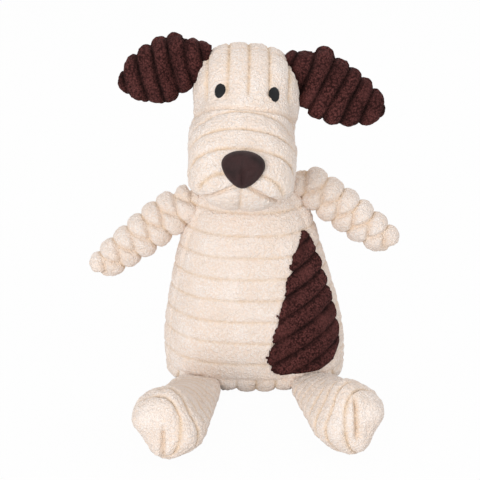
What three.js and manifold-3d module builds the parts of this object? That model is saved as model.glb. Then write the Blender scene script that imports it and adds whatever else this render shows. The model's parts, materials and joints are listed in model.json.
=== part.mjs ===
// A sitting plush dog with a squeaker in its belly: sewn corduroy panels around fibre fill.
// Millimetres, +Z up. The dog looks along -Y and its own left side is +X.
// The origin is the centre of the flat base that it sits on.
import * as THREE from "three";
import { ParametricGeometry } from "three/addons/geometries/ParametricGeometry.js";
import { mergeVertices } from "three/addons/utils/BufferGeometryUtils.js";
import Module from "manifold-3d";

const wasm = await Module();
wasm.setup();

// Cover cloth and fits
const coverThickness = 2.5;
const clearance = 0.4;
const pressTravel = 12;

// Torso
const torsoHeight = 150;
const hipHalfWidth = 72;
const shoulderHalfWidth = 38;
const hipHalfDepth = 46;
const shoulderHalfDepth = 29;
const torsoLean = 0.09;
const torsoSway = -0.03;
const torsoSink = 10;
const baseHeight = 11;
const seamForward = 8;
const seamLap = 6;
const frontInset = 5;
const roundness = 2.6;
const endFlatness = 5;
const taperPower = 1.55;

// Belly patch
const patchThickness = 1.8;
const patchFoot = 16;
const patchHead = 112;
const patchInnerFoot = 8;
const patchInnerHead = 30;
const patchOuterReach = 97;
const patchCorner = 8;

// Neck and head
const neckRadius = 18;
const neckRise = 7;
const neckShift = -11;
const headRoll = 4;
const craniumHalfWidth = 36.4;
const craniumHalfDepth = 38;
const craniumHalfHeight = 46;
const craniumSetForward = 13;
const craniumLift = 41;
const muzzleHalfWidth = 35.4;
const muzzleHalfLength = 40;
const muzzleHalfHeight = 28;
const muzzleSetForward = 57;
const muzzleLift = 23;
const muzzleTilt = 38;
const craniumRoundness = 3;
const muzzleRoundness = 2.4;
const sideSeamForward = 8;
const browSeamLift = 52;
const browSeamTilt = 24;
const mouthSeamDrop = 15;

// Nose and eyes
const noseHalfWidth = 14.5;
const noseHalfHeight = 11.8;
const noseHalfDepth = 8;
const noseRise = 50;
const eyeHalfWidth = 3.8;
const eyeHalfHeight = 4.8;
const eyeSpread = 17.4;
const eyeLift = 63;
const eyeProud = 1.2;

// Ears
const rightEarLength = 52;
const leftEarLength = 62;
const earHalfWidth = 27;
const earHalfThickness = 4.5;
const rightEarLift = 68;
const leftEarLift = 66;
const earTipShare = 0.75;
const earFullness = 0.52;

// Arms
const armRootRadius = 13.5;
const armMidRadius = 14;
const armTipRadius = 11.5;
const rightArmLength = 72;
const leftArmLength = 62;
const armForward = 8;
const armSwell = 0.4;
const rightShoulderHeight = 119.5;
const leftShoulderHeight = 128.5;

// Legs
const legRootHalfHeight = 8;
const legRootHalfWidth = 18;
const legFootRadius = 25;
const rightLegLength = 105;
const leftLegLength = 98;
const hipSpread = 42.5;
const rightHipTuck = 0.6;
const leftHipTuck = 0.2;
const legSwell = 0.8;
const footLift = 0.8;

// Squeaker
const bulbRadius = 20;
const bulbHalfLength = 14;
const bulbWall = 1.2;
const bulbHeight = 70;
const bulbSetBack = 2;
const plugRadius = 6;
const plugBore = 4;
const plugLength = 4.4;
const plugFlangeRadius = 8;
const plugFlangeThickness = 2;
const reedLength = 9;
const reedWidth = 4.4;
const reedThickness = 0.4;
const reedSeatGap = 0.3;

// The two sides, which hang a little differently. Angles in degrees.
const sides = [
  {
    name: "right", sign: -1, shoulderHeight: rightShoulderHeight, armLength: rightArmLength, armDroop: 40,
    earLength: rightEarLength, earLift: rightEarLift, earDroop: 15,
    legLength: rightLegLength, legSplay: 9.5, hipTuck: rightHipTuck,
  },
  {
    name: "left", sign: 1, shoulderHeight: leftShoulderHeight, armLength: leftArmLength, armDroop: 36,
    earLength: leftEarLength, earLift: leftEarLift, earDroop: 19,
    legLength: leftLegLength, legSplay: 12, hipTuck: leftHipTuck,
  },
];

// Facet counts
const aroundTorso = 22;
const alongTorso = 12;
const aroundHead = 18;
const alongHead = 12;
const aroundLimb = 12;
const alongLimb = 11;
const aroundTurned = 16;
const alongTurned = 7;
const alongBall = 8;

const far = 400;
const leanReach = 6;
const degrees = Math.PI / 180;

const cloth = { roughness: 0.95, metalness: 0 };
const cream = new THREE.MeshStandardMaterial({ color: 0xf3e6d2, ...cloth });
const brown = new THREE.MeshStandardMaterial({ color: 0x42221f, ...cloth });
const noseCloth = new THREE.MeshStandardMaterial({ color: 0x3a2625, roughness: 0.6, metalness: 0 });
const eyeCloth = new THREE.MeshStandardMaterial({ color: 0x1d1f26, roughness: 0.6, metalness: 0 });
const fibre = new THREE.MeshStandardMaterial({ color: 0xf7f7f5, ...cloth });
const plastic = new THREE.MeshStandardMaterial({ color: 0xe9eef0, roughness: 0.4, metalness: 0 });

// Solids

// A closed three.js geometry as a solid, turned the right way out.
function solid(geometry) {
  const bare = geometry.index ? geometry.toNonIndexed() : geometry.clone();
  for (const name of ["normal", "uv"]) bare.deleteAttribute(name);
  const merged = mergeVertices(bare, 1e-3);
  const corners = [];
  for (let i = 0; i < merged.index.count; i += 3) {
    const [a, b, c] = [0, 1, 2].map((k) => merged.index.getX(i + k));
    if (a !== b && b !== c && c !== a) corners.push([a, b, c]);
  }
  const build = (faces) => new wasm.Manifold(new wasm.Mesh({
    numProp: 3,
    vertProperties: merged.attributes.position.array,
    triVerts: new Uint32Array(faces.flat()),
  }));
  const made = build(corners);
  return made.volume() > 0 ? made : build(corners.map(([a, b, c]) => [a, c, b]));
}

// A solid as a named mesh.
function piece(name, made, material) {
  const { numProp, numVert, vertProperties, triVerts } = made.getMesh();
  const places = new Float32Array(numVert * 3);
  for (let i = 0; i < numVert; i++) {
    places.set(vertProperties.subarray(i * numProp, i * numProp + 3), i * 3);
  }
  const geometry = new THREE.BufferGeometry();
  geometry.setAttribute("position", new THREE.BufferAttribute(places, 3));
  geometry.setIndex(new THREE.BufferAttribute(triVerts, 1));
  geometry.computeVertexNormals();
  const mesh = new THREE.Mesh(geometry, material);
  mesh.name = name;
  return mesh;
}

const vec = (x, y, z) => new THREE.Vector3(x, y, z);
const up = vec(0, 0, 1);

// Everything on the side of a plane that the normal points to.
function beyond(point, normal) {
  const box = new THREE.BoxGeometry(far, far, far);
  const turn = new THREE.Quaternion().setFromUnitVectors(up, normal.clone().normalize());
  box.translate(0, 0, far / 2);
  box.applyQuaternion(turn);
  box.translate(point.x, point.y, point.z);
  return solid(box);
}

const lerp = THREE.MathUtils.lerp;
const rounded = (share, power) => (1 - Math.min(1, Math.abs(share)) ** power) ** (1 / power);
const ring = (u, power) => {
  const [c, s] = [Math.cos(2 * Math.PI * u), Math.sin(2 * Math.PI * u)];
  const curve = (x) => Math.sign(x) * Math.abs(x) ** (2 / power);
  return [curve(c), curve(s)];
};
const eased = (v) => (1 - Math.cos(Math.PI * v)) / 2;

// A ball stretched to three half sizes, boxier as the power grows.
function pillow(halfX, halfY, halfZ, power, around, along) {
  const place = (u, v, target) => {
    const [c, s] = ring(u, power);
    const height = Math.cos(Math.PI * (1 - v));
    const up = Math.sign(height) * Math.abs(height) ** (2 / power);
    const out = rounded(up, power);
    target.set(halfX * c * out, halfY * s * out, halfZ * up);
  };
  return new ParametricGeometry(place, around, along);
}

// Torso

function torsoHalf(z, grow, inset, hip, shoulder) {
  const low = -torsoSink - grow;
  const high = torsoHeight + grow - inset;
  const t = THREE.MathUtils.clamp((z - low) / (high - low), 0, 1);
  return lerp(hip, shoulder, t ** taperPower) * rounded(2 * t - 1, endFlatness);
}

const torsoHalfWidth = (z, grow = 0, inset = 0) =>
  torsoHalf(z, grow, inset, hipHalfWidth + grow - inset, shoulderHalfWidth + grow - inset);
const torsoHalfDepth = (z, grow = 0, inset = 0) =>
  torsoHalf(z, grow, inset, hipHalfDepth + grow, shoulderHalfDepth + grow);
const torsoMiddle = (z) => torsoLean * z;
const torsoSide = (z) => torsoSway * z;

// The torso's outer form, grown outwards, with its width and top drawn in by the inset.
function torsoForm(grow = 0, inset = 0) {
  const low = -torsoSink - grow;
  const high = torsoHeight + grow - inset;
  const place = (u, v, target) => {
    const z = lerp(low, high, eased(v));
    const [c, s] = ring(u, roundness);
    target.set(torsoSide(z) + torsoHalfWidth(z, grow, inset) * c,
      torsoMiddle(z) + torsoHalfDepth(z, grow, inset) * s, z);
  };
  return solid(new ParametricGeometry(place, aroundTorso, alongTorso));
}

// How far forward the torso's surface lies at a place across and up.
function torsoFront(x, z) {
  const share = (x - torsoSide(z)) / torsoHalfWidth(z);
  return torsoMiddle(z) - torsoHalfDepth(z) * rounded(share, roundness);
}

const seamBack = vec(0, 1, -torsoLean);
const aboveBase = beyond(vec(0, 0, baseHeight + clearance), up);
const squeakerMiddle = vec(torsoSide(bulbHeight), torsoMiddle(bulbHeight) + bulbSetBack, bulbHeight);

function torsoBack() {
  const shell = torsoForm().subtract(torsoForm(-coverThickness));
  const half = shell.intersect(beyond(vec(0, -seamForward, 0), seamBack)).intersect(aboveBase);
  return piece("torso_back_panel", half, cream);
}

// The front panel tucks inside the back panel's rim, so that it can be pressed in.
function torsoFrontPanel() {
  const shell = torsoForm(0, frontInset).subtract(torsoForm(-coverThickness, frontInset));
  const rim = vec(0, seamLap - seamForward, 0);
  const half = shell.intersect(beyond(rim, seamBack.clone().negate())).intersect(aboveBase);
  return piece("torso_front_panel", half, cream);
}

function basePanel() {
  const hollow = torsoForm(-coverThickness).intersect(beyond(vec(0, 0, coverThickness), up));
  const slab = torsoForm().intersect(beyond(vec(0, 0, 0), up));
  const dish = slab.subtract(hollow).subtract(beyond(vec(0, 0, baseHeight), up));
  return piece("base_panel", dish, cream);
}

// Fibre fill in two handfuls that close round the squeaker. They meet behind the pressed front panel's rim.
function torsoFills() {
  const inside = torsoForm(-coverThickness - clearance, frontInset);
  const floor = beyond(vec(0, 0, coverThickness + clearance), up);
  const pocket = new THREE.CylinderGeometry(
    bulbRadius + clearance, bulbRadius + clearance, squeakerLength() + 2 * clearance, aroundTurned);
  const pocketMiddle = squeakerMiddle.y + squeakerLength() / 2 - bulbHalfLength;
  pocket.translate(squeakerMiddle.x, pocketMiddle, squeakerMiddle.z);
  const fill = inside.intersect(floor).subtract(solid(pocket));
  const split = seamLap - seamForward + pressTravel + clearance;
  const [front, back] = [-1, 1].map((way) => {
    const face = vec(0, split + (way * clearance) / 2, 0);
    return fill.intersect(beyond(face, seamBack.clone().multiplyScalar(way)));
  });
  return [piece("torso_front_fill", front, fibre), piece("torso_back_fill", back, fibre)];
}

// A brown leaf of corduroy on the left of the belly.
function bellyPatch() {
  const over = torsoForm(clearance + patchThickness, frontInset);
  const layer = over.subtract(torsoForm(clearance, frontInset));
  const outer = patchOuterReach / 100;
  const leaf = new THREE.Shape();
  leaf.moveTo(patchInnerHead, patchHead);
  leaf.lineTo(patchInnerFoot, patchFoot + patchCorner);
  leaf.quadraticCurveTo(patchInnerFoot + patchThickness, patchFoot, patchInnerHead, patchFoot);
  const outerFoot = torsoSide(patchFoot) + torsoHalfWidth(patchFoot, 0, frontInset) * outer;
  const outerHead = torsoSide(patchHead) + torsoHalfWidth(patchHead, 0, frontInset) * outer;
  leaf.quadraticCurveTo(outerFoot, patchFoot, outerFoot, patchFoot + 2 * patchCorner);
  leaf.quadraticCurveTo(outerFoot, lerp(patchFoot, patchHead, 0.6), outerHead, patchHead - patchThickness);
  leaf.quadraticCurveTo(lerp(outerHead, patchInnerHead, 0.5), patchHead + 2 * patchThickness,
    patchInnerHead, patchHead);
  const cutter = new THREE.ExtrudeGeometry(leaf, { depth: far / 2, bevelEnabled: false, curveSegments: 8 });
  cutter.rotateX(Math.PI / 2);
  const ahead = beyond(vec(0, -seamForward, 0), seamBack.clone().negate());
  const made = layer.intersect(solid(cutter)).intersect(ahead);
  return piece("belly_patch", made, brown);
}

// Squeaker, turned about Y

function squeakerLength() {
  return 2 * bulbHalfLength + plugFlangeThickness + clearance;
}

function turned(profile) {
  const points = profile.map(([r, y]) => new THREE.Vector2(r, y));
  return solid(new THREE.LatheGeometry(points, aroundTurned));
}

function bulbSide(radius, halfLength, from, to, steps) {
  return Array.from({ length: steps + 1 }, (_, i) => {
    const angle = lerp(from, to, i / steps) * degrees;
    const along = Math.sign(angle) * Math.abs(Math.sin(angle)) ** 0.8;
    return [radius * Math.cos(angle) ** 0.7, halfLength * along];
  });
}

function squeaker() {
  const mouth = plugRadius + clearance;
  const mouthAngle = Math.acos((mouth / bulbRadius) ** (1 / 0.7)) / degrees;
  const outer = bulbSide(bulbRadius, bulbHalfLength, -90, mouthAngle, alongTurned);
  const inner = bulbSide(bulbRadius - bulbWall, bulbHalfLength - bulbWall, mouthAngle, -90, alongTurned);
  inner[0][0] = mouth;
  outer[outer.length - 1][0] = mouth;
  const closed = [...outer, ...inner].map(([r, y]) => [r < 1e-3 ? 0 : r, y]);
  const seat = bulbHalfLength - plugLength + clearance;
  const end = bulbHalfLength + clearance + plugFlangeThickness;
  const tube = turned([
    [plugBore, seat], [plugRadius, seat], [plugRadius, bulbHalfLength + clearance],
    [plugFlangeRadius, bulbHalfLength + clearance], [plugFlangeRadius, end], [plugBore, end],
    [plugBore, seat],
  ]);
  const coreRadius = plugBore + bulbWall / 2;
  const core = new THREE.CylinderGeometry(coreRadius, coreRadius, end - seat, aroundTurned);
  core.translate(0, (end + seat) / 2, 0);
  const reedTop = reedThickness / 2;
  const ledge = solid(core).subtract(beyond(vec(0, 0, -reedTop - reedSeatGap), up));
  const reed = new THREE.BoxGeometry(reedWidth, reedLength, reedThickness);
  reed.translate(0, end - plugFlangeThickness / 2 - reedLength / 2, 0);
  const group = new THREE.Group();
  group.add(
    piece("squeaker_bulb", turned(closed), plastic),
    piece("squeaker_plug", tube.add(ledge), plastic),
    piece("squeaker_reed", solid(reed), plastic),
  );
  group.position.copy(squeakerMiddle);
  return group;
}

// Neck and head, about the neck's pivot

const neckPivot = vec(neckShift, torsoMiddle(torsoHeight), torsoHeight + neckRise);

function neckCollar() {
  const ball = new THREE.SphereGeometry(neckRadius, aroundTurned, alongBall);
  ball.translate(neckPivot.x, neckPivot.y, neckPivot.z);
  const collar = solid(ball).intersect(beyond(vec(0, 0, torsoHeight + clearance), up));
  return piece("neck_collar", collar, cream);
}

function headForm(grow) {
  const cranium = pillow(craniumHalfWidth + grow, craniumHalfDepth + grow, craniumHalfHeight + grow,
    craniumRoundness, aroundHead, alongHead);
  cranium.translate(0, -craniumSetForward, craniumLift);
  const muzzle = pillow(muzzleHalfWidth + grow, muzzleHalfLength + grow, muzzleHalfHeight + grow,
    muzzleRoundness, aroundHead, alongHead);
  muzzle.rotateX(muzzleTilt * degrees);
  muzzle.translate(0, -muzzleSetForward, muzzleLift);
  return solid(cranium).add(solid(muzzle));
}

// Half the head's width at a height, on the line of its side seam.
function headSide(z) {
  return craniumHalfWidth * rounded((z - craniumLift) / craniumHalfHeight, craniumRoundness);
}

function headPieces() {
  const room = solid(new THREE.SphereGeometry(neckRadius + 2 * clearance, aroundTurned, alongBall));
  const shell = headForm(0).subtract(headForm(-coverThickness)).subtract(room);
  const side = vec(0, -craniumSetForward - sideSeamForward, 0);
  const brow = vec(0, -muzzleSetForward, browSeamLift);
  const browNormal = vec(0, Math.sin(browSeamTilt * degrees), Math.cos(browSeamTilt * degrees));
  const mouth = vec(0, 0, muzzleLift - mouthSeamDrop);
  const gap = (normal) => normal.clone().setLength(clearance);
  const ahead = vec(0, -1, 0);
  const front = shell.intersect(beyond(side, ahead));
  const above = (point, normal) => beyond(point.clone().add(gap(normal)), normal);
  const below = (point, normal) => beyond(point, normal.clone().negate());
  const face = front.intersect(below(brow, browNormal));
  return [
    piece("forehead_panel", front.intersect(above(brow, browNormal)), cream),
    piece("muzzle_panel", face.intersect(above(mouth, up)), cream),
    piece("chin_panel", face.intersect(below(mouth, up)), cream),
    piece("head_back_panel", shell.intersect(above(side, ahead.clone().negate())), cream),
    piece("head_fill", headForm(-coverThickness - clearance).subtract(room), fibre),
    nosePad(),
    ...sides.map(eye),
  ];
}

// The stuffed nose at the top of the muzzle's end.
function nosePad() {
  const tilt = muzzleTilt * degrees;
  const ball = pillow(noseHalfWidth, noseHalfDepth, noseHalfHeight, muzzleRoundness, aroundLimb, alongLimb);
  const [ahead, high] = ring(noseRise / 360, muzzleRoundness);
  const [reach, lift] = [muzzleHalfLength * ahead, muzzleHalfHeight * high];
  ball.rotateX(tilt - noseRise * degrees);
  ball.translate(0, -muzzleSetForward - reach * Math.cos(tilt) - lift * Math.sin(tilt),
    muzzleLift - reach * Math.sin(tilt) + lift * Math.cos(tilt));
  return piece("nose", solid(ball).subtract(headForm(clearance)), noseCloth);
}

// A flat oval eye that follows the forehead.
function eye({ name, sign }) {
  const oval = new THREE.CylinderGeometry(1, 1, far / 2, aroundLimb);
  oval.scale(eyeHalfWidth, 1, eyeHalfHeight);
  oval.translate(sign * eyeSpread, -far / 4 - craniumSetForward, eyeLift);
  const layer = headForm(clearance + eyeProud).subtract(headForm(clearance));
  return piece(name + "_eye", layer.intersect(solid(oval)), eyeCloth);
}

// How far a side leans in as it rises, from the half width at each height.
function leanIn(halfWidth, z) {
  return Math.atan2(halfWidth(z - leanReach) - halfWidth(z + leanReach), 2 * leanReach);
}

// Ears: a front and a back panel sewn round the edge, turning on the seam at the root.
// The root's seam runs along local Z and the blade hangs down from local X.
function ear({ name, sign, earLength, earLift, earDroop }) {
  const lean = leanIn(headSide, earLift);
  const hang = lean + earDroop * degrees;
  const outline = (share) =>
    earHalfWidth * rounded(2 * share ** earFullness - 1, roundness) * lerp(1, earTipShare, share);
  const place = (u, v, target) => {
    const share = eased(v);
    const [c, s] = ring(u, 2);
    const along = lerp(-earHalfThickness, earLength, share);
    const across = outline(share) * c;
    const turn = hang * share;
    const thick = earHalfThickness * rounded(2 * share - 1, endFlatness);
    const reach = Math.max(0, along);
    const back = Math.min(0, along);
    target.set(reach * Math.cos(hang) + back + across * Math.sin(turn), thick * s,
      across * Math.cos(turn) - reach * Math.sin(hang));
  };
  const blade = solid(new ParametricGeometry(place, aroundLimb, alongLimb));
  const group = new THREE.Group();
  for (const [layer, way] of [["front", -sign], ["back", sign]]) {
    const half = blade.intersect(beyond(vec(0, (way * clearance) / 2, 0), vec(0, way, 0)));
    group.add(piece(`${name}_ear_${layer}_panel`, half, brown));
  }
  const off = earHalfThickness + clearance;
  const out = headSide(earLift) + off * Math.cos(lean);
  group.position.set(sign * out, -craniumSetForward, earLift + off * Math.sin(lean));
  group.rotation.order = "ZYX";
  group.rotation.set(0, -lean, sign > 0 ? 0 : Math.PI);
  return group;
}

function head() {
  const group = new THREE.Group();
  group.add(...headPieces(), ...sides.map(ear));
  group.position.copy(neckPivot);
  group.rotation.y = headRoll * degrees;
  return group;
}

// Limbs: a rounded root at the joint, a swelling middle and a rounded end, along +X

function limbForm({ root, middle, end, length, swell }, grow) {
  const low = -root[1] - grow;
  const high = length + grow;
  const radius = (share, i) => (share < swell
    ? lerp(root[i], middle, share / swell)
    : lerp(middle, end, (share - swell) / (1 - swell)));
  const place = (u, v, target) => {
    const s = lerp(low, high, eased(v));
    const share = Math.max(0, s) / high;
    const close = s < 0 ? rounded(s / low, 2) : rounded(share, endFlatness);
    const [c, d] = ring(u, 2);
    const wide = (radius(share, 0) + grow) * (s < 0 ? Math.sqrt(close) : close);
    target.set(s, wide * c, (radius(share, 1) + grow) * close * d);
  };
  return solid(new ParametricGeometry(place, aroundLimb, alongLimb));
}

// Two cover panels and the fill of a limb. The panels meet on the plane whose normal is given.
function limb(names, shape, splitNormal) {
  const shell = limbForm(shape, 0).subtract(limbForm(shape, -coverThickness));
  const [first, second] = [1, -1].map((way) => {
    const normal = splitNormal.clone().multiplyScalar(way);
    return shell.intersect(beyond(normal.clone().multiplyScalar(clearance / 2), normal));
  });
  const group = new THREE.Group();
  group.add(
    piece(names[0], first, cream),
    piece(names[1], second, cream),
    piece(names[2], limbForm(shape, -coverThickness - clearance), fibre),
  );
  group.rotation.order = "ZYX";
  return group;
}

function arm({ name, sign, shoulderHeight, armLength, armDroop }) {
  const shape = { root: [armRootRadius, armRootRadius], middle: armMidRadius, end: armTipRadius,
    length: armLength, swell: armSwell };
  const names = [`${name}_arm_upper_panel`, `${name}_arm_lower_panel`, `${name}_arm_fill`];
  const group = limb(names, shape, up);
  const lean = leanIn(torsoHalfWidth, shoulderHeight);
  const off = armRootRadius * Math.cos(Math.PI / aroundLimb) + clearance;
  const out = torsoHalfWidth(shoulderHeight) + off * Math.cos(lean);
  group.position.set(torsoSide(shoulderHeight) + sign * out, torsoMiddle(shoulderHeight),
    shoulderHeight + off * Math.sin(lean));
  const heading = sign > 0 ? -armForward : 180 + armForward;
  group.rotation.set(0, armDroop * degrees, heading * degrees);
  return group;
}

// The legs are sewn flat into the seam between the belly and the base, and swell to round feet.
function leg({ name, sign, legLength, legSplay, hipTuck }) {
  const shape = { root: [legRootHalfWidth, legRootHalfHeight], middle: legFootRadius, end: legFootRadius,
    length: legLength, swell: legSwell };
  const names = [`${name}_leg_outer_panel`, `${name}_leg_inner_panel`, `${name}_leg_fill`];
  const group = limb(names, shape, vec(0, sign, 0));
  const splay = legSplay * degrees;
  const hipHeight = legRootHalfHeight + footLift;
  const seam = [-1, -0.5, 0, 0.5, 1].map((share) => {
    const along = share * legRootHalfWidth;
    return torsoFront(sign * (hipSpread + along * Math.cos(splay)), hipHeight) - along * Math.sin(splay);
  });
  const out = Math.min(...seam) - legRootHalfHeight * Math.cos(Math.PI / aroundLimb) + hipTuck;
  group.position.set(sign * hipSpread, out, hipHeight);
  const rise = Math.asin((legFootRadius - legRootHalfHeight) / (legLength * legSwell));
  group.rotation.set(0, -rise, sign * splay - Math.PI / 2);
  return group;
}

// The whole toy

const dog = new THREE.Group();
dog.add(
  torsoBack(), torsoFrontPanel(), basePanel(), bellyPatch(), ...torsoFills(), squeaker(),
  neckCollar(), head(), ...sides.map(arm), ...sides.map(leg),
);

export default dog;
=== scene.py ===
"""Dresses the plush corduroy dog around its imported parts."""

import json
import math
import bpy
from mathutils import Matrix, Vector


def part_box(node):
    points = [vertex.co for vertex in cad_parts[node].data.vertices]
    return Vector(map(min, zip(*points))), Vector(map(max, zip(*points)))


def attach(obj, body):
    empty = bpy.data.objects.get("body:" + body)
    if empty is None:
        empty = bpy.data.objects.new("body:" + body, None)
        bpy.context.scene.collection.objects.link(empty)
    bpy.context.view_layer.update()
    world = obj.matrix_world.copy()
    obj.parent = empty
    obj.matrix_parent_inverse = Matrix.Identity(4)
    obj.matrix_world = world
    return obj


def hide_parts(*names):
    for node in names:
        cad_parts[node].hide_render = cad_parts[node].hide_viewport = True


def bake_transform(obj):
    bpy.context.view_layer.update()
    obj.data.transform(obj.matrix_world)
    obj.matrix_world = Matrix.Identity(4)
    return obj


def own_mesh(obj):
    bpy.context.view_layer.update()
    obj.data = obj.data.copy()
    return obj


bl_info = {
    "name": "Plush corduroy dog",
    "version": (1, 0, 0),
    "blender": (4, 5, 0),
    "location": "View3D > Sidebar > Plush dog",
    "description": "Makes the stuffed corduroy pieces of a sitting dog and its plain stage",
    "category": "Object",
}

import bmesh
import bpy
import numpy as np
from bpy.props import FloatProperty, FloatVectorProperty, IntProperty, PointerProperty
from mathutils import Matrix, Vector, noise

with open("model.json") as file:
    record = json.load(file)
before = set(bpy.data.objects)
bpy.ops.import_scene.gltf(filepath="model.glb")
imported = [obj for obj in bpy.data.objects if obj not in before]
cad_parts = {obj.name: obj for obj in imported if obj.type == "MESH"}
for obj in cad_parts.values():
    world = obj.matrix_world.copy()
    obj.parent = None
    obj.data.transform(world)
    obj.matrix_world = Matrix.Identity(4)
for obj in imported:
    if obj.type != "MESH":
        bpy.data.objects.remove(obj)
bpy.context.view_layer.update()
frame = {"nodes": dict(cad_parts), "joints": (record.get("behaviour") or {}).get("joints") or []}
hinges = {joint["child"]: Vector(joint["pos_m"]) for joint in frame["joints"] if "pos_m" in joint}

MM = 0.001
SIDES = {"right": -1, "left": 1}
NEAR_FLOOR = 0.3 * MM

# Seams of the torso and the head, as the panels were cut.
TORSO_LEAN = 0.09
TORSO_SEAM = Vector((0, -14 * MM, 0))
TORSO_SEAM_AIM = Vector((0, 1, -TORSO_LEAN)).normalized()
BASE_SEAM = Vector((0, 0, 11.2 * MM))
HEAD_ROLL = math.radians(4)
HEAD_SEAM = Vector((0, -21 * MM, 0))
BROW_SEAM = Vector((0, -57 * MM, 52 * MM))
BROW_TILT = math.radians(24)
BROW_AIM = Vector((0, math.sin(BROW_TILT), math.cos(BROW_TILT)))
MOUTH_SEAM = Vector((0, 0, 14 * MM))
MOUTH_FALL = 0.6
MUZZLE_TILT = math.radians(38)
UP = Vector((0, 0, 1))
AHEAD = Vector((0, -1, 0))

# Widths of the furrows that the stitches draw in, and of the pile's tufts.
TORSO_STITCH = 1.8 * MM
HEAD_STITCH = 1.6 * MM
BROW_STITCH = 1.4 * MM
EAR_STITCH = 1.1 * MM
ARM_STITCH = 2.6 * MM
TOE_STITCH = 1.5 * MM
FINE_TUFT = 1.9 * MM
COARSE_TUFT = 5.5 * MM

# Where the stuffed covers leave the plain solids.
ROOT_BAND = 4 * MM
BROW_BAND = 15 * MM
FLANK_HOLLOW = 2.4 * MM
FLANK_HEIGHT = 98 * MM
TEMPLE_PINCH = 3.0 * MM
JOWL = 3.5 * MM
EAR_ROOT = 6 * MM
EAR_GATHER = 8 * MM
EAR_DRAWN = 0.26
EAR_BROAD_AT = 15 * MM
EAR_RAISE = {"right": 2.2 * MM, "left": 0.6 * MM}
EAR_BROAD = {"right": 0.04, "left": 0.14}
EAR_HANG = {"right": 2 * MM, "left": 0.4 * MM}
EAR_TAPER = 0.15
EAR_CRUMPLE = 5 * MM
EAR_LUMP = 12 * MM
EAR_DRAW_IN = 0.8 * MM
ARM_ROOT = 12 * MM
ARM_ROOT_LIFT = {"right": 5 * MM, "left": 8 * MM}
ARM_SAG = {"right": 3.0 * MM, "left": 1.2 * MM}
ARM_DRAW_IN = 2.3 * MM
ARM_WINDING = 3.2 * MM
HAND_LENGTH = 10 * MM
LEG_ROOT = 6 * MM
FOOT_RADIUS = 24 * MM
FOOT_TURN = {"right": 0.5, "left": 0.7}
FOOT_STRETCH = 1.8 * MM
FOOT_SKEW = {"right": math.radians(45), "left": math.radians(60)}
TOE_RING = 17 * MM
TOE_MIDDLE = {"right": -12 * MM, "left": 3 * MM}
TOE_REACH = 3
BOOT_TURN = math.radians(12)
BOOT_RELIEF = 1.4 * MM
SHIN_HOLLOW = {"right": 5.0 * MM, "left": 2.4 * MM}
WAD_DRAW_IN = 2.6 * MM
WAD_CLUMP = 0.9 * MM
WAD_SLACK = 0.6 * MM

# The patch, the nose and the eyes.
PATCH_TOP = 33 * MM
PATCH_LAY = math.radians(28)
PATCH_BASE = 1.3 * MM
PATCH_RAGGED = 3.6 * MM
PATCH_FUZZ = 2 * MM
NOSE_HALF = Vector((15.8, 8.6, 12.2)) * MM
NOSE_PLACE = Vector((0, -92.6, 23.6)) * MM
NOSE_TILT = math.radians(-12)
NOSE_BACK = 2 * MM
NOSE_TAPER = 0.42
NOSE_CREASE = 0.3
NOSE_RIDGE = 0.12
NOSE_DENT = 0.18
EYE_HALF = Vector((3.9, 4.9, 1.4)) * MM

# The stage: each lamp's name, place, width and power.
LAMPS = (
    ("key", (-0.75, -1.65, 0.48), 0.9, 15.2),
    ("side", (1.4, -0.7, 0.9), 0.9, 4),
    ("back", (0.2, 1.2, 1.4), 1.0, 5),
)
LIT_PLACE = Vector((0, 0, 0.12))
CAMERA_PLACE = (-0.0113, -0.770, 0.3836)
CAMERA_PITCH = math.radians(70)
CAMERA_LENS = 85
CAMERA_SENSOR = 36
FLOOR_RADIUS = 6
FLOOR_WHITE = 0.97
WORLD_LIGHT = 0.7


def shade(red, green, blue):
    """A screen colour of 0 to 255 as scene light."""
    return tuple(
        c / 255 / 12.92 if c < 11 else ((c / 255 + 0.055) / 1.055) ** 2.4 for c in (red, green, blue)
    )


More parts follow.
